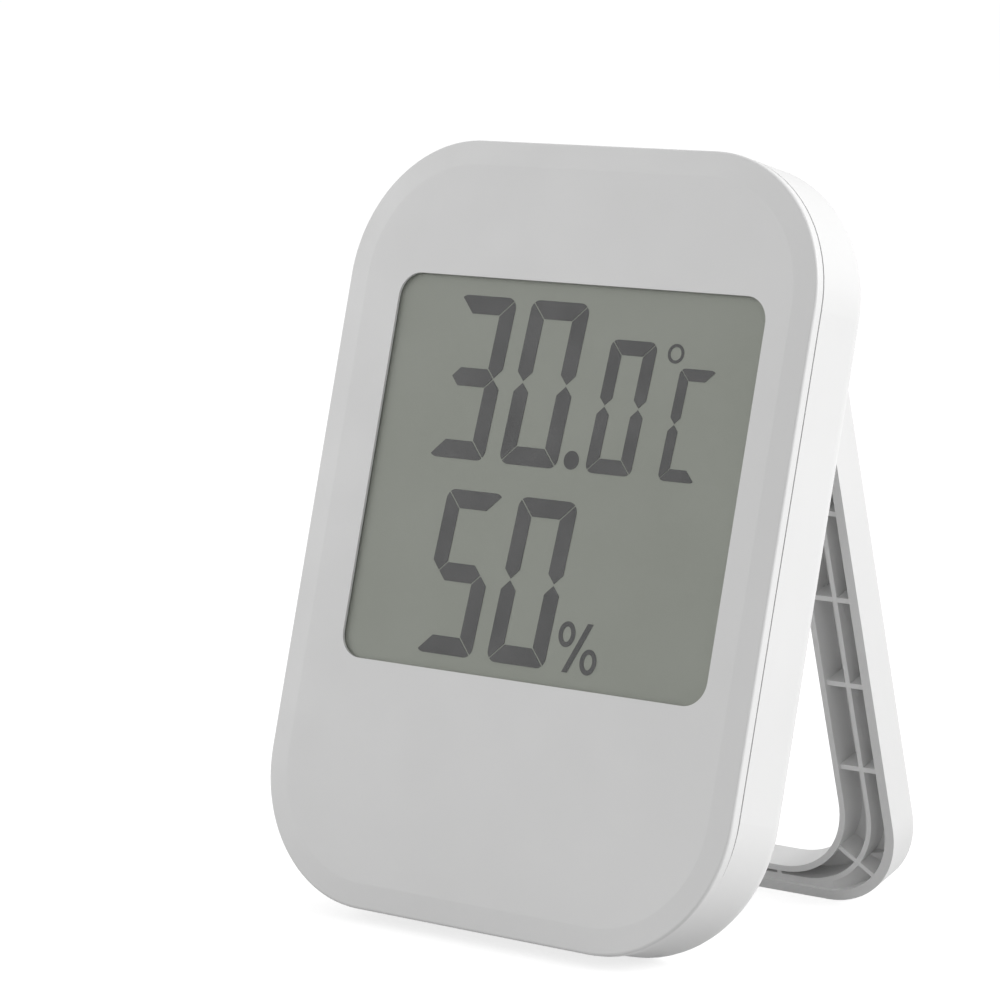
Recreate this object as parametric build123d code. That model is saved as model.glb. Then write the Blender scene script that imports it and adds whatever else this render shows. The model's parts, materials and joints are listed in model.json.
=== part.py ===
"""Desk thermometer and hygrometer: a white case with a round-cornered face, a large
display that shows temperature and humidity, and a ribbed loop stand hinged at its back.

The case is modelled in its own frame: X right, Y up the face, Z towards the viewer, with
the face at Z = 0, so a depth behind the face is a negative Z. The stand is modelled about
its hinge axis. Both are then turned to their places: the case leans back, and the stand's
foot and the case's lower back edge share the floor. All sizes are in millimetres.
"""

from build123d import *
from math import acos, atan2, cos, degrees, hypot, radians, sin
import os

# How the object stands: degrees that the face leans back from upright
case_lean = 14.73

# Display window and the face around it
window_width = 64.7
window_height = 55.7
window_corner = 3.6
window_lip = 0.4             # thickness of the face in front of the lens
left_border = 10.0           # face between the window and the case's left side
right_border = 7.45
top_border = 19.6
bottom_border = 34.9

# Case
case_corner = 20.45          # radius of the face's corners
wall = 1.6                   # rear cover's wall
back_edge = 3.0              # rounding of the back's outer edge
rear_lift = 0.4              # rear cover's lower end above the front cover's
bevel_width = 3.6            # soft bevel round the face
bevel_drop = 0.3
face_edge = 0.4              # rounding of the face's outer edge
face_thickness = 1.7
seam = 0.25                  # shadow gap between the two covers
tongue = 1.0                 # locating rim on the front cover
tongue_length = 2.0
fit_gap = 0.1                # clearance of parts that are set into each other

# Lens and its tape
lens_margin = 1.3            # how far the lens reaches past the window
lens_thickness = 0.5
tape_thickness = 0.1
tape_width = 1.0

# Display panel
glass_side_margin = 2.8      # how far the glass reaches past the window
glass_top_margin = 3.0
glass_bottom_margin = 3.5
glass_thickness = 0.7
polariser_thickness = 0.15
polariser_inset = 0.6
segment_thickness = 0.05     # layer that holds the dark segments
contact_ledge = 2.4          # front glass left bare for the contact strip
reflector_thickness = 0.25

# Holder that keeps the panel against the face
holder_wall = 1.2
holder_ledge = 2.2
holder_floor = 1.3
holder_corner = 1.5

# Rubber contact strip between the glass and the board
strip_width = 1.8
strip_end_gap = 4.0

# Circuit board
board_thickness = 1.2
board_edge_gap = 0.5         # board inside the holder's outline
board_corner = 1.5
back_room = 5.25             # between the board and the inside of the back
tab_width = 53.0             # tab above the display
tab_height = 6.4
ear_height = 7.4             # ears beside the battery
ear_side_gap = 0.6

# Board screws and the posts under them
board_post_radius = 2.4
board_screw_radius = 1.0
board_screw_length = 4.2
board_head_radius = 1.8
board_head_height = 1.2
upper_screw_inset = 4.3      # from the tab's side
upper_screw_rise = 3.4       # above the holder
lower_screw_drop = 3.8       # below the board's lower edge
screw_slack = 0.02           # radial clearance of a screw in its post

# Case screws
case_screw_inset = 10.2      # from the case's outside
case_post_radius = 2.6
case_post_joint = 6.8        # depth where the two covers' posts meet
case_screw_radius = 1.1
case_screw_tip_gap = 1.0     # between a screw's tip and the face plate
case_head_radius = 2.1
case_head_height = 1.4
case_head_sink = 1.2         # head below the back
case_head_gap = 0.25
case_head_wall = 0.8         # post's wall round the head

# Battery: one cell of the 10.5 by 44.5 mm size, lying below the display
cell_radius = 5.25
cell_body_length = 43.7
cell_nub_length = 0.8
cell_nub_radius = 1.9
cell_edge = 0.6
cell_gap = 0.35              # round the cell
cell_end_gap = 0.2
tub_wall = 1.0
tub_floor = 0.8
niche_half_height = 4.0      # hollow behind each end of the cell, for its contact
niche_skin = 0.7             # back left behind that hollow

# Battery contacts
contact_thickness = 0.4
contact_half_height = 3.5
contact_slack = 0.05
contact_bump_radius = 1.6
tab_half_width = 1.0         # contact's solder tab
tab_reach = 0.4              # tab outside the tub
spring_wire = 0.25           # radius of the spring's wire
spring_length = 3.5
spring_large_radius = 2.3
spring_turns = 3
spring_taper = 12            # degrees
lead_radius = 0.4
lead_bend = 1.0
lead_out = 1.6               # lead's first run, away from the tub
lead_up = 5.0

# Battery door
door_thickness = 1.4
door_room = 1.8              # between the cell and the door
door_gap = 0.2
door_pin_radius = 0.8
door_pin_length = 0.8
door_pin_clearance = 0.05
door_heel = 1.1              # radius of the rounding about the door's pins
door_rib_width = 1.2
door_rib_right = 12.0
door_rib_half_height = 3.4
grip_width = 12.0            # finger hollow at the door's free edge
grip_height = 3.0
grip_depth = 0.6

# Raised housing on the back
housing_wall = 1.5
housing_corner = 8.0
housing_foot = 5.4           # housing below the opening for the battery door
housing_top_border = 20.9    # back left bare above the housing
housing_edge = 0.8

# Unit button and the switch behind it
button_radius = 3.2
button_gap = 0.15
button_flange = 1.0
button_flange_height = 1.0
button_proud = 0.4
button_edge = 0.35
button_travel = 0.5
button_up = 4.0
switch_size = 6.0
switch_height = 3.5
plunger_radius = 1.7
plunger_rise = 1.6
plunger_seat = 0.9
plunger_clearance = 0.1

# Keyhole for a wall screw
keyhole_radius = 3.6
keyhole_slot_radius = 1.8
keyhole_slot_length = 5.0
keyhole_drop = 13.0          # below the case's top

# Vents over the humidity sensor
vent_count = 5
vent_pitch = 2.4
vent_width = 1.2
vent_length = 9.0
vent_right = -12.0
vent_drop = 12.0             # below the case's top

# Stand hinge
hinge_up = 20.84             # above the case's middle
hinge_rise = 2.7             # axis above the flat back
pin_radius = 1.5
pin_clearance = 0.05
pin_depth = 3.4              # how far a pin reaches into its ear
pin_end_gap = 0.3
hinge_cover = 0.9            # wall of the ear behind the pin
ear_half_height = 3.2
ear_end_wall = 1.0
ear_gap = 0.3                # between an ear and the stand's leg

# Stand
stand_depth = 5.6
stand_floor = 1.2            # web behind the ribs
stand_side_gap = 2.67        # between the housing and the folded stand's foot
stand_spread = 2.22          # extra half width at the hinge
leg_width = 8.8
bar_width = 4.35
stand_outer_corner = 14.0
stand_window_corner = 12.6
stand_outer_wall = 1.5
stand_inner_wall = 0.95
stand_end_gap = 1.49         # folded stand stops short of the case's lower end
stand_edge = 0.6
stand_stop_gap = 0.1         # between the open stand's heel and the back
heel_height = 5.0            # heel above the hinge axis
heel_round = 2.0
rib_thickness = 0.75
rib_recess = 0.5             # ribs below the walls' edges
rib_pitch = 13.3
first_rib = 22.2             # above the stand's foot
rib_count = 4
bar_rib_pitch = 13.75        # ribs across the foot bar
bar_rib_count = 3
corner_rib_turn = 37         # degrees
mid_rib_side = 3.9           # middle rib from the leg's outer side
mid_rib_foot = 1.9           # middle rib from the foot
mid_rib_corner = 14.0
foot_pad_half_width = 23.3   # the channel below the middle rib is filled up to here
foot_pad_slope = 8.5         # and then falls to the channel's floor over this width
channel_end = 4.5            # legs are solid this far below the hinge

# Electronic parts on the board
blob_radius = 6.0
blob_height = 1.4
blob_up = 20.0
crystal_radius = 1.0
crystal_length = 6.0
crystal_right = 14.0
crystal_up = 14.0
chip_length = 2.0
chip_width = 1.25
chip_height = 0.6
chip_pitch = 4.0
chip_count = 5
chip_up = -10.0
capacitor_radius = 2.0
capacitor_height = 3.0
capacitor_edge = 0.3
capacitor_right = -15.0
capacitor_up = 12.0
sensor_width = 9.0
sensor_height = 4.6
sensor_back_gap = 1.55       # between the sensor and the inside of the back
sensor_wall = 0.5
sensor_rib_shares = (-0.25, 0, 0.25)
bead_radius = 1.1
bead_stem = 0.3
bead_right = 12.0
bead_back_gap = 0.25

# Readout: seven-segment figures of three sizes, and their signs. Places are measured
# from the window's middle to a figure's lower left corner.
figure_slant = 0.062         # sideways lean for each unit of height
figure_gap_share = 0.055     # light gap between segments as a share of the stroke
figure_corner_share = 0.6    # rounding of a figure's corners as a share of the stroke
large_width = 10.3
large_stroke = 2.6
large_pitch = 13.05
small_width = 7.95
small_height = 18.7
small_stroke = 2.1
unit_width = 6.25
unit_height = 15.5
unit_stroke = 1.68
row_gap = 4.3                # between the two rows of figures
figure_top_margin = 2.62     # between the upper row and the window's edge
figure_bottom_margin = 2.18
upper_zero_left = -9.7
small_zero_left = 5.6
unit_left = 18.2
lower_zero_left = -6.2
point_radius = 1.3
point_right = 3.03
point_rise = 1.45
degree_radius = 1.36
degree_stroke = 0.43
degree_right = 17.95
degree_rise = 17.4
percent_left = 5.75
percent_height = 7.0
percent_ring_width = 2.85
percent_ring_height = 3.56
percent_ring_stroke = 0.7
percent_ring_step = 4.36
percent_slash_left = 1.47
percent_slash_width = 0.95
percent_slash_run = 3.3

# Cuts reach this far past what they cut
over = 1.0

# Sizes that follow from those above: case, lens and display
case_width = window_width + left_border + right_border
case_height = window_height + top_border + bottom_border
window_right = (left_border - right_border) / 2
window_up = (bottom_border - top_border) / 2
rear_front = face_thickness + seam
lens_front = window_lip + tape_thickness
lens_width = window_width + 2 * lens_margin
lens_height = window_height + 2 * lens_margin
lens_corner = window_corner + lens_margin
glass_half_width = window_width / 2 + glass_side_margin
glass_top = window_up + window_height / 2 + glass_top_margin
glass_bottom = window_up - window_height / 2 - glass_bottom_margin
glass_front = face_thickness + polariser_thickness
segment_front = glass_front + glass_thickness
rear_glass_front = segment_front + segment_thickness
reflector_front = rear_glass_front + glass_thickness
reflector_back = reflector_front + reflector_thickness
rear_glass_bottom = glass_bottom + contact_ledge
strip_bottom = glass_bottom + (contact_ledge - strip_width) / 2
holder_half_width = glass_half_width + fit_gap + holder_wall
holder_top = glass_top + fit_gap + holder_wall
holder_bottom = glass_bottom - fit_gap - holder_wall
holder_back = reflector_back + fit_gap + holder_floor
large_height = (window_height - figure_top_margin - figure_bottom_margin - row_gap) / 2
upper_row_base = window_height / 2 - figure_top_margin - large_height

# Sizes that follow: how deep the case is for its board
board_front = holder_back
board_back = board_front + board_thickness
inner_back = board_back + back_room
case_depth = inner_back + wall

# Sizes that follow: battery, its tub and its door
tub_front = face_thickness + fit_gap
tub_half_height = cell_radius + cell_gap
tub_half_length = (cell_body_length + cell_nub_length) / 2 + cell_gap
cell_depth = tub_front + tub_floor + tub_half_height
cell_up = holder_bottom - fit_gap - tub_wall - tub_half_height
cell_shoulder = tub_half_length - cell_end_gap
cell_base = cell_shoulder - cell_body_length
plate_inner = spring_length + contact_slack - cell_base
plate_outer = plate_inner + contact_thickness
niche_end = plate_outer + contact_slack
niche_back = case_depth - niche_skin
tub_outer_length = niche_end + tub_wall
tub_outer_height = tub_half_height + tub_wall
hinge_depth = case_depth + hinge_rise
housing_back = max(
    hinge_depth + pin_radius + pin_clearance + hinge_cover,
    cell_depth + cell_radius + door_room + door_thickness,
)
housing_inner_half = tub_half_length
housing_half_width = housing_inner_half + housing_wall
housing_inner_back = housing_back - housing_wall
door_half_width = housing_inner_half - door_gap
door_inner = housing_back - door_thickness
door_pin_up = cell_up - tub_outer_height - door_heel
door_pin_depth = housing_back - door_heel
door_top = cell_up + tub_half_height + tub_wall / 2
door_cut_bottom = door_pin_up - door_heel - door_gap
housing_bottom = door_cut_bottom - housing_foot
housing_top = case_height / 2 - housing_top_border
tub_back = min(door_inner, housing_inner_back) - fit_gap / 2

# Sizes that follow: board, screws and button
board_half_width = holder_half_width - board_edge_gap
board_bottom = holder_bottom + board_edge_gap / 2
board_top = holder_top
ear_inner = tub_outer_length + ear_side_gap
ear_outer = board_half_width - abs(window_right)
upper_screw_right = tab_width / 2 - upper_screw_inset
upper_screw_up = holder_top + upper_screw_rise
lower_screw_up = board_bottom - lower_screw_drop
lower_screw_right = (ear_inner + ear_outer) / 2
case_screw_right = case_width / 2 - case_screw_inset
case_screw_up = case_height / 2 - case_screw_inset
case_head_seat = case_depth - case_head_sink - case_head_height
case_screw_length = case_head_seat - face_thickness - case_screw_tip_gap
sensor_up = case_height / 2 - vent_drop
keyhole_up = case_height / 2 - keyhole_drop
button_back = housing_back + button_proud
flange_back = housing_inner_back - fit_gap / 2
flange_front = flange_back - button_flange_height
switch_back = board_back + switch_height
plunger_back = switch_back + plunger_rise

# Sizes that follow: stand
stand_reach = hinge_up + case_height / 2 - stand_end_gap
stand_front = hinge_rise - stand_stop_gap
stand_back = stand_front - stand_depth
window_half_foot = housing_half_width + stand_side_gap
stand_half_foot = window_half_foot + leg_width
stand_half_hinge = stand_half_foot + stand_spread
leg_inner_hinge = stand_half_hinge - leg_width
ear_half_width = leg_inner_hinge - ear_gap
pin_end = ear_half_width - pin_depth
pin_hole_end = pin_end - pin_end_gap

# Where the parts stand: the case's lower back edge and the stand's foot share the floor,
# and the origin lies on the floor under the middle of the whole
lean = radians(case_lean)
floor_drop = (
    (case_height / 2 - rear_lift - back_edge) * cos(lean)
    + (case_depth - back_edge) * sin(lean)
    + back_edge
)
hinge_height = floor_drop + hinge_up * cos(lean) - hinge_depth * sin(lean)
foot_radius = hypot(stand_reach, stand_front)
stand_lean = acos(hinge_height / foot_radius) + atan2(stand_front, stand_reach)
stand_angle = degrees(lean + stand_lean)
bevel_slope = bevel_drop / bevel_width
face_edge_depth = bevel_drop + face_edge * (hypot(1, bevel_slope) - bevel_slope)
front_reach = (
    (case_height / 2 - face_edge) * sin(lean) - face_edge_depth * cos(lean) + face_edge
)
back_reach = (
    hinge_up * sin(lean)
    + hinge_depth * cos(lean)
    + (stand_reach - stand_edge) * sin(stand_lean)
    - (stand_back + stand_edge) * cos(stand_lean)
    + stand_edge
)
case_place = Pos(0, (front_reach - back_reach) / 2, floor_drop) * Rot(90 - case_lean, 0, 0)
hinge_place = case_place * Pos(0, hinge_up, -hinge_depth)
stand_place = hinge_place * Rot(stand_angle, 0, 0)


def layer(shape, front, back):
    """A flat shape made solid between two depths behind the face."""
    return extrude(Pos(0, 0, -back) * shape, back - front)


def plate(width, height, corner, front, back, right=0, up=0):
    """A round-cornered plate between two depths."""
    return layer(Pos(right, up) * RectangleRounded(width, height, corner), front, back)


def block(left, right, low, high, front, back):
    """A box given by its sides, with front and back as depths."""
    middle = Pos((left + right) / 2, (low + high) / 2, -(front + back) / 2)
    return middle * Box(right - left, high - low, back - front)


def centred_block(half_width, low, high, front, back, right=0):
    """A box that lies evenly to both sides of a place along X."""
    return block(right - half_width, right + half_width, low, high, front, back)


def post(right, up, radius, front, back):
    """A round post or hole along the depth."""
    return Pos(right, up, -(front + back) / 2) * Cylinder(radius, back - front)


def rod(left, right, up, depth, radius):
    """A round rod along X."""
    middle = Pos((left + right) / 2, up, -depth)
    return middle * Rot(0, 90, 0) * Cylinder(radius, right - left)


def case_ring(inset, thickness, front, back):
    """A rim that follows the case's outline, inset from its outside."""
    outer = plate(case_width - 2 * inset, case_height - 2 * inset, case_corner - inset, front, back)
    hole = inset + thickness
    return outer - plate(case_width - 2 * hole, case_height - 2 * hole, case_corner - hole,
                         front - over, back + over)


def case_screw_places():
    """One screw near each corner of the case."""
    return [(x * case_screw_right, y * case_screw_up) for x in (-1, 1) for y in (-1, 1)]


def board_screw_places():
    """Two screws in the board's tab and one in each ear."""
    upper = [(side * upper_screw_right, upper_screw_up) for side in (-1, 1)]
    lower = [(side * lower_screw_right, lower_screw_up) for side in (-1, 1)]
    return upper + lower


def make_front_cover():
    """Face plate with a soft bevel, the lens pocket, a locating rim and the posts."""
    outer = Pos(0, 0, -bevel_drop) * RectangleRounded(case_width, case_height, case_corner)
    flat = RectangleRounded(
        case_width - 2 * bevel_width, case_height - 2 * bevel_width, case_corner - bevel_width
    )
    cover = plate(case_width, case_height, case_corner, bevel_drop, face_thickness)
    cover += loft([outer, flat], ruled=True)
    # Edges from the front: the flat's outline, the bevel's corner lines, the outer edge
    outer_edge = cover.edges().group_by(Axis.Z)[-3]
    cover = fillet(outer_edge, min(face_edge, face_thickness - bevel_drop - fit_gap))
    cover += case_ring(wall + fit_gap, tongue, face_thickness, face_thickness + tongue_length)
    for right, up in board_screw_places():
        cover += post(right, up, board_post_radius, face_thickness, board_front)
        cover -= post(right, up, board_screw_radius + screw_slack, face_thickness, board_front)
    for right, up in case_screw_places():
        cover += post(right, up, case_post_radius, face_thickness, case_post_joint)
        cover -= post(right, up, case_screw_radius + screw_slack, face_thickness, case_post_joint)
    cover -= plate(window_width, window_height, window_corner, -over, face_thickness + over,
                   window_right, window_up)
    cover -= plate(lens_width + 2 * fit_gap, lens_height + 2 * fit_gap, lens_corner + fit_gap,
                   window_lip, face_thickness + over, window_right, window_up)
    return cover


def make_display_lens():
    """Clear window, set into the face from behind."""
    return plate(lens_width, lens_height, lens_corner, lens_front, lens_front + lens_thickness,
                 window_right, window_up)


def make_lens_tape():
    """Adhesive ring between the face's lip and the lens."""
    outer = plate(lens_width, lens_height, lens_corner, window_lip, lens_front,
                  window_right, window_up)
    return outer - plate(lens_width - 2 * tape_width, lens_height - 2 * tape_width,
                         lens_corner - tape_width, window_lip - over, lens_front + over,
                         window_right, window_up)


def make_lcd_polariser():
    """Film on the front glass."""
    half_width = glass_half_width - polariser_inset
    return centred_block(half_width, rear_glass_bottom, glass_top - polariser_inset,
                         face_thickness, glass_front, window_right)


def make_lcd_front_glass():
    """Front glass of the panel, with a bare ledge at its foot for the contacts."""
    return centred_block(glass_half_width, glass_bottom, glass_top, glass_front, segment_front,
                         window_right)


def make_lcd_rear_glass():
    """Rear glass of the panel, shorter by the contact ledge."""
    return centred_block(glass_half_width, rear_glass_bottom, glass_top,
                         rear_glass_front, reflector_front, window_right)


def make_lcd_reflector():
    """Grey-green reflector behind the panel."""
    return centred_block(glass_half_width, rear_glass_bottom, glass_top,
                         reflector_front, reflector_back, window_right)


def figure_points(width, height, stroke):
    """Outline of each segment of an upright figure, from its lower left corner."""
    middle = height / 2
    gap = figure_gap_share * stroke
    half = stroke / 2
    top = [(gap, height), (width - gap, height), (width - stroke - gap, height - stroke),
           (stroke + gap, height - stroke)]
    upper_left = [(0, height - gap), (stroke, height - stroke - gap),
                  (stroke, middle + half + gap), (half, middle + gap), (0, middle + half + gap)]
    bar = [(half + gap, middle), (stroke + gap, middle + half),
           (width - stroke - gap, middle + half), (width - half - gap, middle),
           (width - stroke - gap, middle - half), (stroke + gap, middle - half)]
    return {
        "top": top,
        "bottom": [(x, height - y) for x, y in top],
        "upper_left": upper_left,
        "upper_right": [(width - x, y) for x, y in upper_left],
        "lower_left": [(x, height - y) for x, y in upper_left],
        "lower_right": [(width - x, height - y) for x, y in upper_left],
        "bar": bar,
    }


def slanted(points, left, base):
    """A face through points that lean with the figures, placed from the window's middle."""
    line = [(window_right + left + x + figure_slant * y, window_up + base + y) for x, y in points]
    return make_face(Polyline(*line, close=True))


def figure(shown, left, base, width, height, stroke):
    """The shown segments of one figure, with the figure's outer corners rounded."""
    box = slanted([(0, 0), (width, 0), (width, height), (0, height)], left, base)
    box = fillet(box.vertices(), figure_corner_share * stroke)
    outlines = figure_points(width, height, stroke)
    return [slanted(outlines[name], left, base) & box for name in shown.split()]


def percent_sign(left, base):
    """Two oval rings and a slash."""
    across = percent_ring_width / 2
    high = percent_ring_height / 2
    hole = Ellipse(across - percent_ring_stroke, high - percent_ring_stroke)
    oval = Ellipse(across, high) - hole
    middle_x = window_right + left + across
    middle_y = window_up + base
    upper = Pos(middle_x, middle_y + percent_height - high) * oval
    lower = Pos(middle_x + percent_ring_step, middle_y + high) * oval
    slash_left = window_right + left + percent_slash_left
    slash = [
        (slash_left, middle_y),
        (slash_left + percent_slash_width, middle_y),
        (slash_left + percent_slash_width + percent_slash_run, middle_y + percent_height),
        (slash_left + percent_slash_run, middle_y + percent_height),
    ]
    return [upper, lower, make_face(Polyline(*slash, close=True))]


def make_lcd_segments():
    """The dark segments that show 30.0 degrees over 50 per cent."""
    three = "top upper_right bar lower_right bottom"
    zero = "top upper_left upper_right lower_left lower_right bottom"
    five = "top upper_left bar lower_right bottom"
    letter = "top upper_left lower_left bottom"
    upper = upper_row_base
    lower = upper_row_base - row_gap - large_height
    large = (large_width, large_height, large_stroke)
    faces = figure(three, upper_zero_left - large_pitch, upper, *large)
    faces += figure(zero, upper_zero_left, upper, *large)
    faces += figure(zero, small_zero_left, upper, small_width, small_height, small_stroke)
    faces += figure(letter, unit_left, upper, unit_width, unit_height, unit_stroke)
    faces += figure(five, lower_zero_left - large_pitch, lower, *large)
    faces += figure(zero, lower_zero_left, lower, *large)
    point = Pos(window_right + point_right, window_up + upper + point_rise)
    degree = Pos(window_right + degree_right, window_up + upper + degree_rise)
    faces.append(point * Circle(point_radius))
    faces.append(degree * (Circle(degree_radius) - Circle(degree_radius - degree_stroke)))
    faces += percent_sign(percent_left, lower)
    layer = Pos(0, 0, -rear_glass_front)
    return Compound(children=[extrude(layer * face, segment_thickness).solid() for face in faces])


def make_lcd_holder():
    """Frame that holds the panel against the face."""
    middle_up = (holder_top + holder_bottom) / 2
    holder = plate(2 * holder_half_width, holder_top - holder_bottom, holder_corner,
                   face_thickness, holder_back, window_right, middle_up)
    holder -= centred_block(glass_half_width + fit_gap, glass_bottom - fit_gap,
                            glass_top + fit_gap, face_thickness - over,
                            reflector_back + fit_gap, window_right)
    holder -= centred_block(glass_half_width - holder_ledge, strip_bottom - fit_gap,
                            glass_top - holder_ledge, face_thickness, holder_back + over,
                            window_right)
    return holder


def make_contact_strip():
    """Rubber strip that joins the front glass to the board."""
    return centred_block(glass_half_width - strip_end_gap, strip_bottom,
                         strip_bottom + strip_width, segment_front, board_front, window_right)


def make_circuit_board():
    """Board with a tab above the display and an ear beside each end of the battery."""
    middle_up = (board_bottom + board_top) / 2
    board = plate(2 * board_half_width, board_top - board_bottom, board_corner,
                  board_front, board_back, window_right, middle_up)
    board += centred_block(tab_width / 2, board_top - over, board_top + tab_height,
                           board_front, board_back)
    for side in (-1, 1):
        inner, outer = sorted((side * ear_inner, side * ear_outer))
        board += block(inner, outer, board_bottom - ear_height, board_bottom + over,
                       board_front, board_back)
    for right, up in board_screw_places():
        board -= post(right, up, board_screw_radius + screw_slack,
                      board_front - over, board_back + over)
    for right, up in case_screw_places():
        board -= post(right, up, case_post_radius + board_edge_gap,
                      board_front - over, board_back + over)
    return board


def make_board_screws():
    """Four screws that hold the board and the holder to the face."""
    screws = []
    for right, up in board_screw_places():
        head = post(right, up, board_head_radius, board_back, board_back + board_head_height)
        shank = post(right, up, board_screw_radius, board_back - board_screw_length, board_back)
        screws.append((head + shank).solid())
    return Compound(children=screws)


def make_case_screws():
    """Four screws that close the case from behind."""
    screws = []
    head_back = case_head_seat + case_head_height
    for right, up in case_screw_places():
        head = post(right, up, case_head_radius, case_head_seat, head_back)
        shank = post(right, up, case_screw_radius, case_head_seat - case_screw_length,
                     case_head_seat)
        screws.append((head + shank).solid())
    return Compound(children=screws)


def make_controller_blob():
    """Moulded drop over the controller chip."""
    blob = post(0, blob_up, blob_radius, board_back, board_back + blob_height)
    return fillet(blob.edges().sort_by(Axis.Z)[0], blob_height - fit_gap)


def make_crystal_can():
    """Round can of the clock crystal, lying on the board."""
    place = Pos(crystal_right, crystal_up, -board_back - crystal_radius)
    return place * Rot(90, 0, 0) * Cylinder(crystal_radius, crystal_length)


def make_chip_parts():
    """Row of small chip resistors and capacitors."""
    chips = []
    for i in range(chip_count):
        right = (i - (chip_count - 1) / 2) * chip_pitch
        chips.append(centred_block(chip_width / 2, chip_up - chip_length / 2,
                                   chip_up + chip_length / 2, board_back,
                                   board_back + chip_height, right).solid())
    return Compound(children=chips)


def make_buffer_capacitor():
    """Upright can capacitor."""
    can = post(capacitor_right, capacitor_up, capacitor_radius, board_back,
               board_back + capacitor_height)
    return fillet(can.edges().sort_by(Axis.Z)[0], capacitor_edge)


def make_humidity_sensor():
    """Sensor in a small open box, facing the vents."""
    low = sensor_up - sensor_height / 2
    high = sensor_up + sensor_height / 2
    back = inner_back - sensor_back_gap
    box = centred_block(sensor_width / 2, low, high, board_back, back, vent_right)
    box -= centred_block(sensor_width / 2 - sensor_wall, low + sensor_wall, high - sensor_wall,
                         board_back + sensor_wall, back + over, vent_right)
    for share in sensor_rib_shares:
        box += centred_block(sensor_wall / 2, low, high, board_back, back,
                             vent_right + share * sensor_width)
    return box


def make_thermistor():
    """Bead on two stems that hold it clear of the board."""
    depth = inner_back - bead_back_gap - bead_radius
    bead = Pos(bead_right, sensor_up, -depth) * Sphere(bead_radius)
    for side in (-1, 1):
        bead += post(bead_right + side * bead_radius / 2, sensor_up, bead_stem, board_back, depth)
    return bead


def make_tact_switch():
    """Square push switch with a round hole for its plunger."""
    half = switch_size / 2
    switch = centred_block(half, button_up - half, button_up + half, board_back, switch_back)
    hole_front = switch_back - plunger_seat - button_travel - plunger_clearance
    return switch - post(0, button_up, plunger_radius + plunger_clearance, hole_front,
                         switch_back + over)


def make_switch_plunger():
    """Plunger of the switch, which moves with the button."""
    return post(0, button_up, plunger_radius, switch_back - plunger_seat, plunger_back)


def make_unit_button():
    """Round button with a flange that keeps it in the housing and a stem to the switch."""
    cap = post(0, button_up, button_radius, flange_front, button_back)
    cap = fillet(cap.edges().sort_by(Axis.Z)[0], button_edge)
    cap += post(0, button_up, button_radius + button_flange, flange_front, flange_back)
    return cap + post(0, button_up, plunger_radius, plunger_back, flange_front)


def make_battery_cell():
    """Cylindrical cell with its plus nub to the right."""
    body = rod(cell_base, cell_shoulder, cell_up, cell_depth, cell_radius)
    body = fillet(body.edges().filter_by(GeomType.CIRCLE), cell_edge)
    return body + rod(cell_shoulder - cell_edge, cell_shoulder + cell_nub_length, cell_up,
                      cell_depth, cell_nub_radius)


def contact_plate(side):
    """Sprung plate at one end of the cell, with a solder tab through the tub's end."""
    low = cell_up - contact_half_height
    high = cell_up + contact_half_height
    inner, outer = sorted((side * plate_inner, side * plate_outer))
    front = cell_depth - contact_half_height
    back = cell_depth + min(contact_half_height, niche_back - cell_depth - contact_slack)
    contact = block(inner, outer, low, high, front, back)
    tab_inner, tab_outer = sorted((side * plate_inner, side * (tub_outer_length + tab_reach)))
    half = contact_thickness / 2
    return contact + block(tab_inner, tab_outer, cell_up - tab_half_width,
                           cell_up + tab_half_width, cell_depth - half, cell_depth + half)


def make_plus_contact():
    """Plate with a bump that meets the cell's nub."""
    nub_end = cell_shoulder + cell_nub_length
    return contact_plate(1) + rod(nub_end, plate_inner, cell_up, cell_depth, contact_bump_radius)


def make_minus_contact():
    """Plate that carries the spring."""
    return contact_plate(-1)


def make_minus_spring():
    """Tapering coil spring between the minus plate and the cell."""
    rise = spring_length - 2 * spring_wire
    coil = Helix(rise / spring_turns, rise, spring_large_radius, cone_angle=-spring_taper)
    wire = Plane(origin=coil @ 0, z_dir=coil % 0) * Circle(spring_wire)
    spring = sweep(wire, path=coil, is_frenet=True)
    start = Pos(spring_wire - plate_inner, cell_up, -cell_depth)
    return start * Rot(0, 90, 0) * spring


def make_lead(side):
    """Short insulated wire from a contact's tab to the board."""
    start = side * (tub_outer_length + tab_reach)
    out = side * (tub_outer_length + tab_reach + lead_out)
    route = FilletPolyline(
        (start, cell_up, -cell_depth),
        (out, cell_up, -cell_depth),
        (out, cell_up + lead_up, -cell_depth),
        (out, cell_up + lead_up, -board_back),
        radius=lead_bend,
    )
    return sweep(Plane(origin=route @ 0, z_dir=route % 0) * Circle(lead_radius), path=route)


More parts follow.
